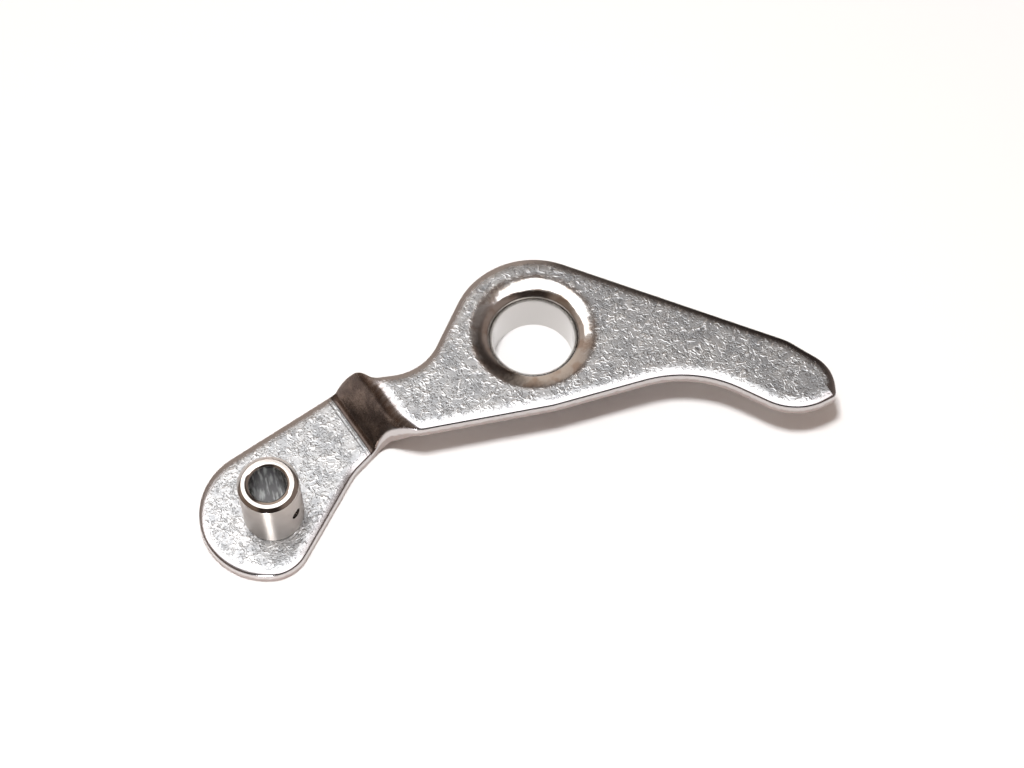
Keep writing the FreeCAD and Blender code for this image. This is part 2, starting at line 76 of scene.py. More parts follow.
# %% Outline
# Each arc: centre x and y, radius (mm), heading on arrival and turn (degrees, to the left is positive).
OUTLINE_ARCS = {
    "pin_end": (-38.850, 0.650, 8.60, -179.20, 149.20),
    "heel": (-40.650, -2.468, 5.00, -30.00, 58.98),
    "knee": (-24.884, -7.453, 7.00, 28.98, -14.45),
    "notch": (-22.801, -1.748, 2.00, 14.53, -63.71),
    "hip": (-17.257, -0.823, 2.80, -49.17, 26.17),
    "near_boss": (0.000, 0.000, 10.30, -23.00, 5.40),
    "waist": (3.087, -27.732, 15.20, -17.60, -44.30),
    "toe": (25.015, -20.392, 7.60, -61.90, 57.26),
    "tip": (25.354, -27.242, 0.80, -4.64, 64.38),
    "brow": (22.191, -24.329, 5.00, 59.74, 52.09),
    "crown": (19.960, -21.451, 6.00, 111.83, 12.67),
    "far_boss": (0.000, 0.000, 10.30, 124.50, 87.90),
    "neck": (-14.501, 11.109, 6.85, -147.60, -58.97),
    "foot": (-18.038, 7.455, 2.00, 153.43, -40.93),
    "shoulder": (-23.308, 6.068, 3.40, 112.50, 68.30),
}
ARC_STEP = 4.0
SMALLEST_ROUND = 0.04
SAME_PLACE = 0.002


def once_each(elements):
    """The elements without repeats, in the order in which they came, which a set would shuffle."""
    return list(dict.fromkeys(elements))


def outline_ring(mesh, inset, height):
    """One closed loop of edges round the blank, this far inside its outline."""
    old_edges = set(mesh.edges)
    arcs = []
    for x, y, radius, heading, turn in OUTLINE_ARCS.values():
        side = math.copysign(1, turn)
        reach = side * max(radius - side * inset, SMALLEST_ROUND)
        way = math.radians(heading)
        first = mesh.verts.new((x + reach * math.sin(way), y - reach * math.cos(way), height))
        spun = bmesh.ops.spin(mesh, geom=[first], cent=(x, y, height), axis=(0, 0, 1), dvec=(0, 0, 0),
                              angle=math.radians(turn), steps=max(2, round(abs(turn) / ARC_STEP)),
                              use_merge=False, use_duplicate=False)
        last = [v for v in spun["geom_last"] if isinstance(v, bmesh.types.BMVert)][0]
        arcs.append((first, last))
    for (_, last), (first, _) in zip(arcs, arcs[1:] + arcs[:1]):
        if (last.co - first.co).length > SAME_PLACE:
            mesh.edges.new((last, first))
    loop = [v for e in mesh.edges if e not in old_edges for v in e.verts] + [v for pair in arcs for v in pair]
    bmesh.ops.remove_doubles(mesh, verts=once_each(loop), dist=SAME_PLACE)
    return [e for e in mesh.edges if e not in old_edges]


test = bmesh.new()
ring = outline_ring(test, 0.0, 0.0)
print("outline:", len(ring), "edges,", round(sum(e.calc_length() for e in ring), 1), "mm round")
test.free()

# %% [markdown]
# ## The rim
# Blanking draws the sheet's upper edge over before it cuts, and tumbling then rounds it. So the rim isn't
# one round: the face first sinks gently over almost a millimetre, and only then turns down in a tight
# corner. In the photograph that gentle part is the white band along the near edges and the dark band
# along the far ones. A bevel has one width on both sides, so the rim is bridged from rings instead.

# %% Blank with its rim
RISE, THICKNESS = 6.0, 2.0
SHEET_TOP, SHEET_UNDER = RISE + THICKNESS, RISE
ROLL_START, ROLL_END, ROLL_DROP, ROLL_STEPS = 1.5, 0.2, 0.2, 7
CORNER_STEPS = 4
WALL_STEP = 0.1
BURR = 0.12


def rim_steps():
    """Pairs of inset and height, from the flat upper face over the rim and down to the underside."""
    width = ROLL_START - ROLL_END
    steps = []
    for count in range(ROLL_STEPS + 1):
        share = count / ROLL_STEPS
        steps.append((ROLL_START - width * share, SHEET_TOP - ROLL_DROP * share ** 2))
    tilt = math.atan(2 * ROLL_DROP / width)
    radius = ROLL_END / (1 - math.sin(tilt))
    centre = SHEET_TOP - ROLL_DROP - radius * math.cos(tilt)
    for count in range(1, CORNER_STEPS + 1):
        angle = tilt + (math.pi / 2 - tilt) * count / CORNER_STEPS
        steps.append((radius * (1 - math.sin(angle)), centre + radius * math.cos(angle)))
    steps.append((0.0, centre - WALL_STEP))
    steps.append((0.0, SHEET_UNDER + BURR))
    steps.append((BURR, SHEET_UNDER))
    return steps


arm_mesh = bmesh.new()
rings = [outline_ring(arm_mesh, inset, height) for inset, height in rim_steps()]
for upper, lower in zip(rings, rings[1:]):
    bmesh.ops.bridge_loops(arm_mesh, edges=upper + lower)
print("rim:", len(rings), "rings,", len(arm_mesh.faces), "faces")

# %% [markdown]
# ## The pivot
# The press draws the collar out of the sheet, so one section goes all the way: a shallow dish, the lead-in
# round, the straight bore, the collar's foot, its outer wall and the root round under the sheet. Spinning
# that section about the pivot makes it whole. The hole for the rivet is spun the same way.

# %% Bore, collar and rivet hole
BORE, LEAD_IN, DISH, DISH_ANGLE = 5.0, 2.0, 6.0, 15.0
COLLAR, COLLAR_ROOT, COLLAR_EDGE = 6.4, 0.5, 0.2
PIN_AT = -38.5
SEAT, SWAGE = 3.03, 0.5
BORE_STEP = 0.4
FULL_TURN_STEPS = 144


def arc(centre, radius, first, last, steps):
    """Points of an arc in a section, from one angle to another in degrees."""
    angles = [math.radians(first + (last - first) * n / steps) for n in range(steps + 1)]
    return [(centre[0] + radius * math.cos(a), centre[1] + radius * math.sin(a)) for a in angles]


def spin_section(mesh, section, centre_x, closed=False):
    """Spin a section, given as radius and height, about an upright axis. Returns its first and last ring."""
    verts = [mesh.verts.new((centre_x + radius, 0, height)) for radius, height in section]
    pairs = list(zip(verts, verts[1:])) + ([(verts[-1], verts[0])] if closed else [])
    edges = [mesh.edges.new(pair) for pair in pairs]
    old_faces = set(mesh.faces)
    bmesh.ops.spin(mesh, geom=verts + edges, cent=(centre_x, 0, 0), axis=(0, 0, 1), dvec=(0, 0, 0),
                   angle=2 * math.pi, steps=FULL_TURN_STEPS, use_merge=True, use_duplicate=False)
    made = once_each(e for f in mesh.faces if f not in old_faces for e in f.edges if e.is_boundary)
    ends = []
    for radius, height in (section[0], section[-1]):
        ends.append([e for e in made if all(abs(v.co.z - height) < SAME_PLACE
                    and abs(math.hypot(v.co.x - centre_x, v.co.y) - radius) < SAME_PLACE for v in e.verts)])
    return ends


tilt = math.radians(DISH_ANGLE)
wall_top = SHEET_TOP - DISH * (1 - math.cos(tilt)) - LEAD_IN * math.cos(tilt)
mouth = BORE + LEAD_IN * (1 - math.sin(tilt)) + DISH * math.sin(tilt)
section = arc((mouth, SHEET_TOP - DISH), DISH, 90, 90 + DISH_ANGLE, 8)
section += arc((BORE + LEAD_IN, wall_top), LEAD_IN, 90 + DISH_ANGLE, 180, 14)[1:]
section += [(BORE, wall_top - BORE_STEP), (BORE, 0.0), (COLLAR - COLLAR_EDGE, 0.0)]
section += arc((COLLAR - COLLAR_EDGE, COLLAR_EDGE), COLLAR_EDGE, -90, 0, 4)[1:]
section += arc((COLLAR + COLLAR_ROOT, SHEET_UNDER - COLLAR_ROOT), COLLAR_ROOT, 180, 90, 5)
dish_ring, root_ring = spin_section(arm_mesh, section, 0)
seat_top_ring, seat_under_ring = spin_section(
    arm_mesh, [(SEAT, SHEET_TOP), (SEAT, SHEET_UNDER + SWAGE), (SEAT + SWAGE, SHEET_UNDER)], PIN_AT)
print("dish mouth", round(mouth, 3), "mm, bore wall from", round(wall_top, 3), "mm down")

# %% [markdown]
# ## The two faces
# Each face of the sheet is flat so far, with an outline and two round holes. Filling it by triangles is
# enough, because a flat face shades the same however it is divided.

# %% Faces of the blank
for loops, way in (((rings[0], dish_ring, seat_top_ring), 1), ((rings[-1], root_ring, seat_under_ring), -1)):
    bmesh.ops.triangle_fill(arm_mesh, use_beauty=True, use_dissolve=False,
                            edges=[e for loop in loops for e in loop], normal=(0, 0, way))
bmesh.ops.recalc_face_normals(arm_mesh, faces=arm_mesh.faces[:])
open_edges = [e for e in arm_mesh.edges if e.is_boundary]
print("blank:", len(arm_mesh.faces), "faces, open edges:", len(open_edges))

# %% [markdown]
# ## The joggle
# The pin's end is pressed 6 mm down. Both sides of the sheet bend about the same two centres, so a round
# that is 1 mm inside is 3 mm outside. The blank is cut across where the bends need edges, and then each
# vertex sinks to the height that the section has there. What lies below a face, such as its rim, keeps
# its distance from the slanting face.

# %% Press the joggle
UPPER_BEND, SLOPE, INNER = -18.6, math.radians(60), 1.0
OUTER = INNER + THICKNESS
CLIMB = RISE - THICKNESS - 2 * INNER
LOWER_BEND = UPPER_BEND - (CLIMB * math.cos(SLOPE) + THICKNESS + 2 * INNER) / math.sin(SLOPE)
UPPER_CENTRE, LOWER_CENTRE = RISE - INNER, THICKNESS + INNER
BEND_STEPS = 10


def sheet_side(x, upper_radius, lower_radius):
    """Height of one side of the sheet at x, and the slope there."""
    back, on = UPPER_BEND - x, x - LOWER_BEND
    if back <= 0:
        return UPPER_CENTRE + upper_radius, 0.0
    if on <= 0:
        return LOWER_CENTRE - lower_radius, 0.0
    if back < upper_radius * math.sin(SLOPE):
        lean = math.asin(back / upper_radius)
        return UPPER_CENTRE + upper_radius * math.cos(lean), lean
    if on < lower_radius * math.sin(SLOPE):
        lean = math.asin(on / lower_radius)
        return LOWER_CENTRE - lower_radius * math.cos(lean), lean
    start = UPPER_CENTRE + upper_radius * math.cos(SLOPE)
    return start - (back - upper_radius * math.sin(SLOPE)) * math.tan(SLOPE), SLOPE


cuts = set()
for radius in (INNER, OUTER):
    for count in range(BEND_STEPS + 1):
        reach = radius * math.sin(SLOPE * count / BEND_STEPS)
        cuts.update((round(UPPER_BEND - reach, 4), round(LOWER_BEND + reach, 4)))
for x in sorted(cuts):
    bmesh.ops.bisect_plane(arm_mesh, geom=arm_mesh.verts[:] + arm_mesh.edges[:] + arm_mesh.faces[:],
                           dist=0.0005, plane_co=(x, 0, 0), plane_no=(1, 0, 0))
for vert in arm_mesh.verts:
    x, height = vert.co.x, vert.co.z
    if x >= UPPER_BEND:
        continue
    if height > (SHEET_TOP + SHEET_UNDER) / 2:
        face_height, lean = sheet_side(x, OUTER, INNER)
        vert.co.z = face_height - (SHEET_TOP - height) / math.cos(lean)
    else:
        face_height, lean = sheet_side(x, INNER, OUTER)
        vert.co.z = face_height + (height - SHEET_UNDER) / math.cos(lean)
print("joggle: cut at", len(cuts), "places, lower bend ends at", round(LOWER_BEND, 3), "mm")


# %% [markdown]
# ## Finished pieces
# Every finished mesh goes through the same last steps: millimetres become metres, rounded faces shade
# smoothly, flat ones stay flat, and edges that turn by more than 30 degrees stay sharp.

# %% Finish a piece
SHARP = math.radians(30)
FLAT = 0.99999


def finish_piece(mesh, name, node, flat_ways):
    """Turn a bmesh in millimetres into an object that stands for a CAD node."""
    mesh.normal_update()
    for face in mesh.faces:
        face.smooth = not any(abs(face.normal.dot(way)) > FLAT for way in flat_ways)
    for edge in mesh.edges:
        edge.smooth = edge.calc_face_angle(0.0) < SHARP
    bmesh.ops.scale(mesh, vec=(MM, MM, MM), verts=mesh.verts[:])
    data = bpy.data.meshes.new(name)
    mesh.to_mesh(data)
    mesh.free()
    piece = bpy.data.objects.new(name, data)
    bpy.context.scene.collection.objects.link(piece)
    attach(piece, "root")
    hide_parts(node)
    print(name + ":", len(data.polygons), "faces")
    return piece


UP = Vector((0, 0, 1))
SLOPE_WAY = Vector((-math.sin(SLOPE), 0, math.cos(SLOPE)))
arm = finish_piece(arm_mesh, "stamped_arm", "arm", (UP, SLOPE_WAY))

# %% [markdown]
# ## The roller pin
# The pin is turned from bar: a spun section with a chamfered upper edge, a flat ring, a rounded mouth on
# its oil bore and a small break at its foot. The oil hole goes through the wall sideways. A boolean would
# leave long thin faces there, so a patch of each wall is taken out and bridged to a round ring laid on
# that wall.

# %% Roller pin
PIN, PIN_TOP = 3.75, 11.05
CHAMFER_WIDTH, CHAMFER_TILT, CHAMFER_SOFT, FOOT_BREAK = 0.5, math.radians(40), 0.2, 0.2
OIL_BORE, OIL_LIP = 2.2, 0.6
SPIGOT = 3.0
OIL_HOLE, OIL_HEIGHT, OIL_WAY = 0.75, 6.45, math.radians(-66)
PATCH_ROWS = [OIL_HEIGHT + step for step in (-1.05, -0.525, 0.0, 0.525, 1.05)]
PATCH_HALF_COLUMNS = {PIN: 7, OIL_BORE: 11}
ON_WALL = 0.01


def hole_ring(mesh, wall, patch):
    """Open a patch in a wall and bridge it to a round ring that lies on the wall."""
    border = once_each(e for f in patch for e in f.edges if sum(g in patch for g in e.link_faces) == 1)
    bmesh.ops.delete(mesh, geom=patch, context="FACES")
    border = [e for e in border if e.is_valid]
    circle = bmesh.ops.create_circle(mesh, segments=len(border), radius=OIL_HOLE)["verts"]
    bmesh.ops.rotate(mesh, verts=circle, cent=(0, 0, 0), matrix=Matrix.Rotation(math.pi / 2, 3, "Y"))
    for vert in circle:
        vert.co.x = math.sqrt(wall ** 2 - vert.co.y ** 2)
        vert.co.z += OIL_HEIGHT
    ring_edges = once_each(e for v in circle for e in v.link_edges)
    bmesh.ops.bridge_loops(mesh, edges=border + ring_edges)
    return ring_edges


pin_mesh = bmesh.new()
section = [(OIL_BORE, 0.0), (SPIGOT + SWAGE, 0.0), (SPIGOT, SWAGE), (SPIGOT, THICKNESS)]
section += [(PIN - FOOT_BREAK, THICKNESS), (PIN, THICKNESS + FOOT_BREAK)]
section += [(PIN, height) for height in PATCH_ROWS]
chamfer_foot = PIN_TOP - CHAMFER_WIDTH * math.tan(CHAMFER_TILT)
lower_run = CHAMFER_SOFT * math.tan((math.pi / 2 - CHAMFER_TILT) / 2)
upper_run = CHAMFER_SOFT * math.tan(CHAMFER_TILT / 2)
lean = 90 - math.degrees(CHAMFER_TILT)
section += arc((PIN - CHAMFER_SOFT, chamfer_foot - lower_run), CHAMFER_SOFT, 0, lean, 4)
section += arc((PIN - CHAMFER_WIDTH - upper_run, PIN_TOP - CHAMFER_SOFT), CHAMFER_SOFT, lean, 90, 4)
section += arc((OIL_BORE + OIL_LIP, PIN_TOP - OIL_LIP), OIL_LIP, 90, 180, 8)
section += [(OIL_BORE, height) for height in reversed(PATCH_ROWS)]
spin_section(pin_mesh, section, 0, closed=True)
half_step = math.pi / FULL_TURN_STEPS
hole_rings = []
for wall, half_columns in PATCH_HALF_COLUMNS.items():
    patch = []
    for face in pin_mesh.faces:
        middle = face.calc_center_median()
        on_wall = abs(math.hypot(middle.x, middle.y) - wall) < ON_WALL
        turned = abs(math.atan2(middle.y, middle.x))
        if on_wall and turned < 2 * half_step * half_columns and PATCH_ROWS[0] < middle.z < PATCH_ROWS[-1]:
            patch.append(face)
    hole_rings.append(hole_ring(pin_mesh, wall, patch))
bmesh.ops.bridge_loops(pin_mesh, edges=hole_rings[0] + hole_rings[1])
bmesh.ops.recalc_face_normals(pin_mesh, faces=pin_mesh.faces[:])
bmesh.ops.rotate(pin_mesh, verts=pin_mesh.verts[:], cent=(0, 0, 0), matrix=Matrix.Rotation(OIL_WAY, 3, "Z"))
bmesh.ops.translate(pin_mesh, verts=pin_mesh.verts[:], vec=(PIN_AT, 0, 0))
print("pin: open edges", sum(e.is_boundary for e in pin_mesh.edges))
pin = finish_piece(pin_mesh, "turned_pin", "roller_pin", (UP,))

# %% [markdown]
# ## Shader maths
# A material here is worked out from the place on the piece. One small class wraps a socket, so that sums
# and products of masks read as they do on paper. Every other node comes from one method, which sets the
# node up first and then feeds its sockets. The export later bakes what varies over a surface, so only
# colour, roughness and the bump do.

# %% Sockets as numbers
class Wire:
    """An output socket in a node tree, with the arithmetic that the materials use."""

    def __init__(self, recipe, socket):
        self.recipe, self.socket = recipe, socket

    def math(self, operation, *others):
        return self.recipe.node("ShaderNodeMath", {"operation": operation},
                                numbered=dict(enumerate((self,) + others)))

    def __add__(self, other):
        return self.math("ADD", other)

    def __mul__(self, other):
        return self.math("MULTIPLY", other)

    def __sub__(self, other):
        return self.math("SUBTRACT", other)

    def __rsub__(self, other):
        return (self * -1.0) + other

    __radd__, __rmul__ = __add__, __mul__

    def between(self, low, high):
        """0 below low, 1 above high and a smooth step between."""
        return self.recipe.node("ShaderNodeMapRange", {"interpolation_type": "SMOOTHSTEP"},
                                numbered=dict(enumerate((self, low, high, 0.0, 1.0))))

    def parts(self):
        """The three numbers of a vector."""
        return self.recipe.node("ShaderNodeSeparateXYZ", output=None, numbered={0: self})


print("a wire knows:", [name for name in dir(Wire) if not name.startswith("__")])


# %% One method for every other node
class Recipe:
    """A material or world under construction."""

    def __init__(self, tree):
        self.tree = tree
        tree.nodes.clear()

    def node(self, kind, settings=None, output=0, numbered=None, **named):
        """Add a node, set it up, feed its sockets by number or name, and return one output (None: all)."""
        node = self.tree.nodes.new(kind)
        for name, value in (settings or {}).items():
            setattr(node, name, value)
        sockets = list((numbered or {}).items())
        sockets += [(name.replace("_", " "), value) for name, value in named.items()]
        for key, value in sockets:
            if isinstance(value, Wire):
                self.tree.links.new(value.socket, node.inputs[key])
            else:
                node.inputs[key].default_value = value
        if output is None:
            return [Wire(self, socket) for socket in node.outputs]
        return Wire(self, node.outputs[output]) if len(node.outputs) else None

    def mix_colour(self, share, first, second):
        return self.node("ShaderNodeMix", {"data_type": "RGBA"}, 2, {0: share, 6: first, 7: second})

    def place(self):
        """Where on the piece a point lies, in metres from the frame's origin."""
        return self.node("ShaderNodeTexCoord", output="Object")

    def facing_up(self):
        """1 on a level face, above or below, and 0 on an upright one."""
        return self.node("ShaderNodeNewGeometry", output="Normal").parts()[2].math("ABSOLUTE")

    def noise(self, place, scale, detail, **more):
        return self.node("ShaderNodeTexNoise", Vector=place, Scale=scale, Detail=detail, **more)

    def stretched(self, place, *scale):
        """The place with each direction scaled, which draws a pattern out along the small ones."""
        return self.node("ShaderNodeMapping", Vector=place, Scale=scale)


def new_material(name):
    material = bpy.data.materials.new(name)
    material.use_nodes = True
    return material, Recipe(material.node_tree)


print("a recipe makes:", [name for name in dir(Recipe) if not name.startswith("__")])

# %% [markdown]
# ## What the press leaves on the sheet, and painted light
# A stamping shows how it was made. The punch burnishes the dish round the bore, and two fine lines at the
# foot of the joggle's slope show where the die's edge stood. The slope itself is painted dark brown as a
# painted reflection, with darker painted shade in the crease at its foot, and the rolled-over rim is painted
# darker as painted shade. The cut edge is pale near the upper face and darker and browner towards the
# underside. Each of these is a mask worked out from the place, so it stays sharp however close one looks.

# %% Zones
FACE_ROLLS_OVER, UPRIGHT, NEARLY_LEVEL = (0.970, 0.9995), (0.1, 0.5), (0.9, 0.99)
DISH_EDGE, OUTER_EDGES = (7.5 * MM, 8.3 * MM), (8.3 * MM, 8.7 * MM)
BRONZE_FROM, BRONZE_ABOVE = (5.2 * MM, 5.9 * MM), (5.2 * MM, 6.0 * MM)
SLOPE_FOOT, SLOPE_CREASE = (-24.46 * MM, -24.34 * MM), (-24.3 * MM, -23.6 * MM)
SLOPE_HEAD = (-20.7 * MM, -19.3 * MM)
SCRATCH_REACH = 2.4 * MM
DIE_LINES, DIE_LINE_WIDTH = (24.46 * MM, 24.84 * MM), (0.04 * MM, 0.11 * MM)
SHEET_CLIMBS = (-24.6 * MM, -18.4 * MM)


def press_zones(recipe, place):
    """Masks of the zones that blanking, drawing and bending leave, and the depth below the upper face."""
    x, y, z = place.parts()
    from_pivot = (x * x + y * y).math("SQRT")
    facing_up = recipe.facing_up()
    streaks = recipe.noise(recipe.stretched(place, 0.12, 1.0, 0.12), 2600.0, 2.0)
    scratched = x + (streaks - 0.5) * SCRATCH_REACH
    lines = sum(1.0 - (x + back).math("ABSOLUTE").between(*DIE_LINE_WIDTH) for back in DIE_LINES)
    return {
        "rolled": 1.0 - facing_up.between(*FACE_ROLLS_OVER),
        "burnished": 1.0 - from_pivot.between(*DISH_EDGE),
        "drawn": from_pivot.between(*BRONZE_FROM) * z.between(*BRONZE_ABOVE),
        "sheared": (1.0 - facing_up.between(*UPRIGHT)) * from_pivot.between(*OUTER_EDGES),
        # The slope mask carries painted reflection into the colour, and the crease mask carries painted
        # shade.
        "slope": x.between(*SLOPE_FOOT) * (1.0 - scratched.between(*SLOPE_HEAD)),
        "crease_shade": 1.0 - x.between(*SLOPE_CREASE),
        "die_lines": lines * facing_up.between(*NEARLY_LEVEL),
        "depth": x.between(*SHEET_CLIMBS) * (RISE * MM) + THICKNESS * MM - z,
    }


print("dish ends", round(DISH_EDGE[1] / MM, 2), "mm from the pivot")

# %% [markdown]
# ## Tumbling marks
# Tumbling with stones leaves bare steel satin, covered with tiny dents that catch the light as short curling
# marks. A noise folded back and forth gives curling lines, and a second noise breaks them into short
# pieces. A dent is shape, so the marks go into a bump, and they tint the colour too, because a dent holds
# grime while its crest is rubbed bright.

# %% Marks
def tumbling_marks(recipe, place):
    """Pale and dark curls, and the noise that breaks them up."""
    flow = recipe.noise(place, 850.0, 1.5, Roughness=0.5, Distortion=1.0)
    cross = recipe.noise(place, 1150.0, 1.5, Roughness=0.5, Distortion=1.4)
    breaks = recipe.noise(place, 1300.0, 1.0)
    pale = (flow * 7.0).math("PINGPONG", 1.0).between(0.5, 0.95) * breaks.between(0.44, 0.58)
    dark = (cross * 8.0).math("PINGPONG", 1.0).between(0.45, 0.9) * (1.0 - breaks.between(0.46, 0.60))
    return pale, dark, breaks


print("marks about", round(1000 / 1150, 1), "mm apart")

# %% [markdown]
# ## Tumbled sheet steel
# The zones and marks come together in one metal. The colour is layered: sheet first, then marks, the
# rolled-over rim's painted shade, dish, cut edge, the slope's painted reflection with painted shade in its
# crease, and die lines. What was worked is smoother than the faces, and what was torn or rubbed is rougher.

# %% Tumbled steel
STEEL_PALE, STEEL_DEEP = (0.52, 0.525, 0.53, 1.0), (0.36, 0.37, 0.385, 1.0)
CURL_PALE, CURL_DARK = (0.72, 0.725, 0.73, 1.0), (0.15, 0.155, 0.16, 1.0)
# The rolled-over rim's colour is painted shade: the rim is painted darker than the faces.
BURNISHED, BRONZE, ROLLED_RIM_SHADE = (0.54, 0.525, 0.51, 1.0), (0.44, 0.38, 0.34, 1.0), (0.33, 0.315, 0.32, 1.0)
# The slope's browns are painted reflection; the crease colour below is painted shade in the bend at its foot.
SLOPE_PAINTED_BROWN, SLOPE_PAINTED_DARK = (0.17, 0.125, 0.10, 1.0), (0.075, 0.052, 0.042, 1.0)
CREASE_PAINTED_SHADE = (0.04, 0.028, 0.023, 1.0)
EDGE_PALE, EDGE_DARKER_BELOW = (0.56, 0.535, 0.53, 1.0), (0.34, 0.285, 0.265, 1.0)
MARK_TINT, SLOPE_TINT, LINE_TINT = 0.6, 0.95, 0.55
DARKENS_BELOW, DARKENS_WAVER = (0.9 * MM, 1.4 * MM), 0.6 * MM
BUMP_DEPTH = 0.021 * MM


def tumbled_steel():
    material, recipe = new_material("tumbled_steel")
    place = recipe.place()
    zone = press_zones(recipe, place)
    pale, dark, breaks = tumbling_marks(recipe, place)
    clouds = recipe.noise(place, 450.0, 3.0, Roughness=0.6)
    lumps = recipe.noise(place, 560.0, 2.0)
    grit = recipe.noise(place, 3600.0, 1.0)
    dish = recipe.mix_colour(zone["drawn"] * lumps.between(0.42, 0.66), BURNISHED, BRONZE)
    # The cut edge is pale near the upper face and darker and browner towards the underside.
    darker_below = (zone["depth"] + (breaks - 0.5) * DARKENS_WAVER).between(*DARKENS_BELOW)
    cut_edge = recipe.mix_colour(darker_below, EDGE_PALE, EDGE_DARKER_BELOW)
    # Painted reflection on the slope, and painted shade in the crease at its foot.
    slope = recipe.mix_colour(clouds.between(0.35, 0.65), SLOPE_PAINTED_BROWN, SLOPE_PAINTED_DARK)
    slope = recipe.mix_colour(zone["crease_shade"], slope, CREASE_PAINTED_SHADE)
    colour = recipe.mix_colour(clouds.between(0.3, 0.7), STEEL_PALE, STEEL_DEEP)
    # Some layers are painted light: shade on the rolled-over rim, reflection on the slope, shade in its
    # crease.
    for share, layer in ((pale * MARK_TINT, CURL_PALE), (dark * MARK_TINT, CURL_DARK),
                         (zone["rolled"], ROLLED_RIM_SHADE), (zone["burnished"], dish), (zone["sheared"], cut_edge),
                         (zone["slope"] * (1.0 - zone["sheared"]) * SLOPE_TINT, slope),
                         (zone["die_lines"] * LINE_TINT, CURL_DARK)):
        colour = recipe.mix_colour(share, colour, layer)
    worked = (zone["burnished"] + zone["rolled"]).math("MINIMUM", 1.0)
    roughness = worked * -0.17 + grit * 0.06 + zone["sheared"] * 0.15 + zone["slope"] * 0.12 + 0.29
    height = (pale - dark * 0.8 + grit * 0.5) * (worked * -0.95 + 1.0) - zone["die_lines"]
    height = height + zone["burnished"] * zone["drawn"] * lumps * 2.0
    bump = recipe.node("ShaderNodeBump", Strength=1.0, Distance=BUMP_DEPTH, Height=height)
    shader = recipe.node("ShaderNodeBsdfPrincipled", Base_Color=colour, Metallic=1.0, Roughness=roughness,
                         Normal=bump)
    recipe.node("ShaderNodeOutputMaterial", Surface=shader)
    return material


arm.data.materials.append(tumbled_steel())
print("arm material has", len(arm.data.materials[0].node_tree.nodes), "nodes")

# %% [markdown]
# ## Polished steel
# The pin's wall is ground: fine lines run round it and stretch every reflection up and down, which is what
# anisotropy does. Its top and chamfer are polished. Its oil bore is painted dark as painted shade, with pale
# streaks of painted reflection down its wall.

# %% Polished steel
PIN_PALE, PIN_DEEP = (0.50, 0.465, 0.44, 1.0), (0.42, 0.385, 0.36, 1.0)
# The oil bore's dark colour is painted shade, and its pale colour is painted reflection.
BORE_PAINTED_SHADE, BORE_PAINTED_REFLECTION = (0.20, 0.195, 0.20, 1.0), (0.62, 0.63, 0.62, 1.0)
DRILLED_WITHIN, PIN_UPRIGHT = (2.25 * MM, 2.45 * MM), (0.05, 0.3)


def polished_steel():
    material, recipe = new_material("polished_steel")
    place = recipe.place()
    x, y, _ = place.parts()
    off_axis = x - PIN_AT * MM
    drilled = 1.0 - (off_axis * off_axis + y * y).math("SQRT").between(*DRILLED_WITHIN)
    ground = (1.0 - recipe.facing_up().between(*PIN_UPRIGHT)) * (1.0 - drilled)
    smear = recipe.noise(place, 600.0, 2.0)
    # Painted shade in the oil bore, with pale streaks of painted reflection down its wall.
    bore_reflection_streaks = recipe.noise(recipe.stretched(place, 1.0, 1.0, 0.12), 2400.0, 2.0)
    bore = recipe.mix_colour(bore_reflection_streaks.between(0.45, 0.65), BORE_PAINTED_SHADE, BORE_PAINTED_REFLECTION)
    colour = recipe.mix_colour(drilled, recipe.mix_colour(smear, PIN_PALE, PIN_DEEP), bore)
    shader = recipe.node("ShaderNodeBsdfPrincipled", Base_Color=colour, Metallic=1.0,
                         Roughness=smear * 0.04 + drilled * 0.2 + ground * 0.22 + 0.07,
                         Anisotropic=0.9, Anisotropic_Rotation=0.25)
    recipe.node("ShaderNodeOutputMaterial", Surface=shader)
    return material


pin.data.materials.append(polished_steel())
print("pin material:", pin.data.materials[0].name)

# %% [markdown]
# ## The floor
# The part lies on white paper. Paper far from the lamp would turn grey, so beyond the part it goes over
# into a plain glow of strength 1, which is white. The glow is only there for the camera and for mirrored
# rays: it lights nothing, so the shadow round the part stays as the lamp makes it.

# %% Floor
FLOOR_DROP = 0.03 * MM
LIT_CENTRE, GLOW_FROM = (-10 * MM, -9 * MM), (62 * MM, 150 * MM)
PAPER_WHITE = (0.93, 0.93, 0.93, 1.0)
floor_mesh = bmesh.new()
bmesh.ops.create_grid(floor_mesh, x_segments=1, y_segments=1, size=3.0)
floor_data = bpy.data.meshes.new("floor")
floor_mesh.to_mesh(floor_data)
floor_mesh.free()
floor = bpy.data.objects.new("floor", floor_data)
floor.location.z = -FLOOR_DROP
bpy.context.scene.collection.objects.link(floor)
material, recipe = new_material("white_paper")
x, y, _ = recipe.place().parts()
x, y = x - LIT_CENTRE[0], y - LIT_CENTRE[1]
away = (x * x + y * y).math("SQRT").between(*GLOW_FROM)
seen = sum(recipe.node("ShaderNodeLightPath", output=kind)
           for kind in ("Is Camera Ray", "Is Glossy Ray", "Is Transmission Ray"))
paper = recipe.node("ShaderNodeBsdfDiffuse", Color=PAPER_WHITE)
glow = recipe.node("ShaderNodeEmission", Color=(1, 1, 1, 1), Strength=1.0)
glowing = away * seen.math("MINIMUM", 1.0)
surface = recipe.node("ShaderNodeMixShader", numbered={0: glowing, 1: paper, 2: glow})
recipe.node("ShaderNodeOutputMaterial", Surface=surface)
floor_data.materials.append(material)
print("floor lies", floor.location.z, "m under the part")

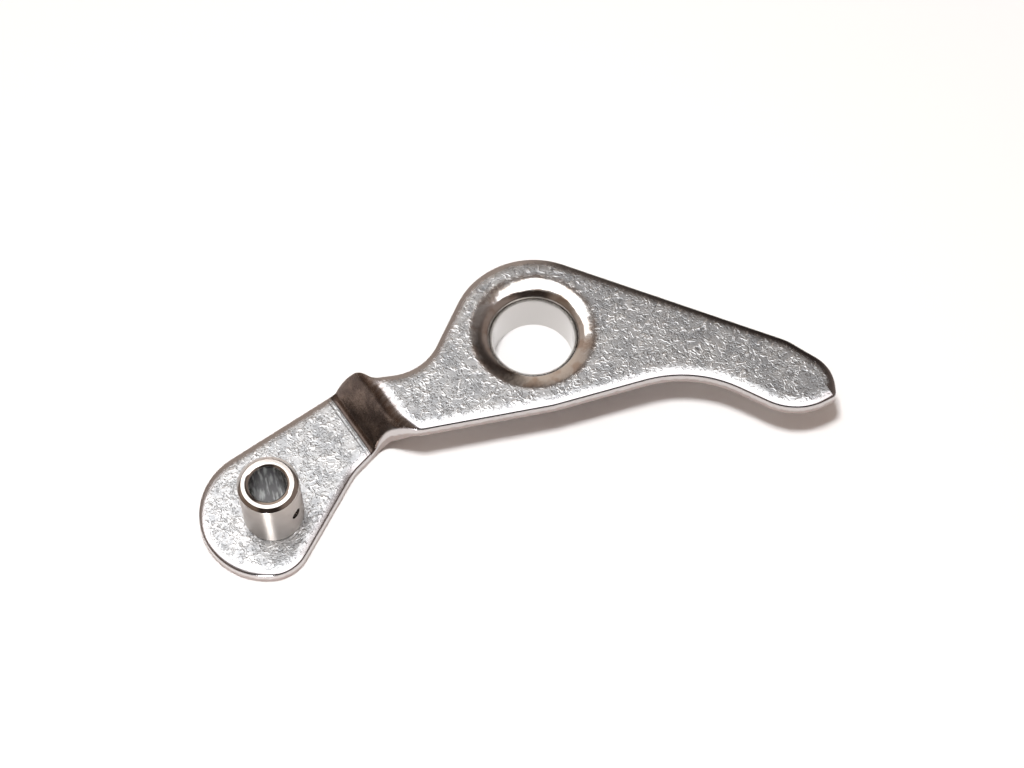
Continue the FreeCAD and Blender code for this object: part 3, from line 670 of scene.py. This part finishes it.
# %% [markdown]
# ## The lamps
# Steel shows what surrounds it, so what a lamp looks like in the steel matters as much as the light it
# gives. The two jobs are split: a broad box overhead is only seen in the steel, and a small strong one
# only lights the paper and casts the shadow. A faint warm box from the photographer's side tints that
# shadow, and a small card before the pin makes the white stripe down its wall.

# %% Lamps
def soft_box(name, right, ahead, up, width, depth, turn, radiance, colour=(1, 1, 1)):
    """A level rectangular lamp, placed from the photographer's side in millimetres and turned in degrees."""
    data = bpy.data.lights.new(name, "AREA")
    data.shape = "RECTANGLE"
    data.size, data.size_y = width * MM, depth * MM
    data.energy = radiance * math.pi * data.size * data.size_y
    data.color = colour
    lamp = bpy.data.objects.new(name, data)
    lamp.location = Matrix.Rotation(VIEW_AZIMUTH, 3, "Z") @ Vector((right, ahead, up)) * MM
    lamp.rotation_euler = (0, 0, VIEW_AZIMUTH + math.radians(turn))
    bpy.context.scene.collection.objects.link(lamp)
    return lamp


overhead = soft_box("overhead_box", -73, 14, 400, 560, 250, -30, 3.4)
key = soft_box("key_box", -25, -30, 400, 55, 55, 0, 145.0)
warm = soft_box("warm_box", -120, -330, 360, 400, 400, 0, 0.45, (1.0, 0.62, 0.54))
card = soft_box("pin_card", -36, -52, 4, 7.5, 7.5, 0, 65.0)
card.rotation_euler = (-math.pi / 2, 0, VIEW_AZIMUTH + math.pi)
overhead.visible_diffuse = card.visible_diffuse = card.visible_camera = False
key.visible_glossy = warm.visible_glossy = False

# %% [markdown]
# ## The room in the steel
# Bent and rounded steel mirrors the room from the horizon up: white paper lowest, then a brown zone, tan
# walls to the left and ahead, dusk to the right, and a grey ceiling round the lamp. Each is a soft-edged
# part of the sky, set out from the photographer's side.

# %% World
DUSK, RIGHT_DUSK, LOW_BROWN = (0.05, 0.038, 0.033, 1), (0.36, 0.285, 0.25, 1), (0.18, 0.13, 0.11, 1)
NEAR_TAN, LEFT_TAN, AHEAD_TAN = (0.28, 0.21, 0.165, 1), (0.62, 0.51, 0.44, 1), (0.86, 0.72, 0.61, 1)
CEILING, FAR_CEILING, RIGHT_CEILING = (0.50, 0.47, 0.45, 1), (0.24, 0.205, 0.19, 1), (0.30, 0.22, 0.19, 1)
PAPER = (1.0, 1.0, 1.0, 1)
world = bpy.data.worlds.new("studio")
bpy.context.scene.world = world
world.use_nodes = True
recipe = Recipe(world.node_tree)
way = recipe.node("ShaderNodeMapping", Vector=recipe.node("ShaderNodeTexCoord", output="Generated"),
                  Rotation=(0, 0, -VIEW_AZIMUTH))
right, ahead, up = way.parts()
low = 1.0 - up.between(0.13, 0.24)
sky = recipe.mix_colour(right.between(0.3, 0.7) * (1.0 - low * 0.75), DUSK, RIGHT_DUSK)
tan = recipe.mix_colour(ahead.between(-0.3, 0.3), NEAR_TAN, LEFT_TAN)
tan = recipe.mix_colour(ahead.between(0.5, 0.85), tan, AHEAD_TAN)
tan = recipe.mix_colour(low * (1.0 - ahead.between(0.6, 0.9)), tan, LOW_BROWN)
sky = recipe.mix_colour((ahead * 0.35 - right).between(0.05, 0.35), sky, tan)
ceiling = recipe.mix_colour(right.between(0.0, 0.3), CEILING, RIGHT_CEILING)
ceiling = recipe.mix_colour(ahead.between(0.0, 0.35), ceiling, FAR_CEILING)
sky = recipe.mix_colour(up.between(0.80, 0.89), sky, ceiling)
sky = recipe.mix_colour(up.between(0.03, 0.07), PAPER, sky)
shader = recipe.node("ShaderNodeBackground", Color=sky, Strength=1.0)
recipe.node("ShaderNodeOutputWorld", Surface=shader)
bpy.context.scene.view_settings.view_transform = "Standard"
print("world:", world.name)
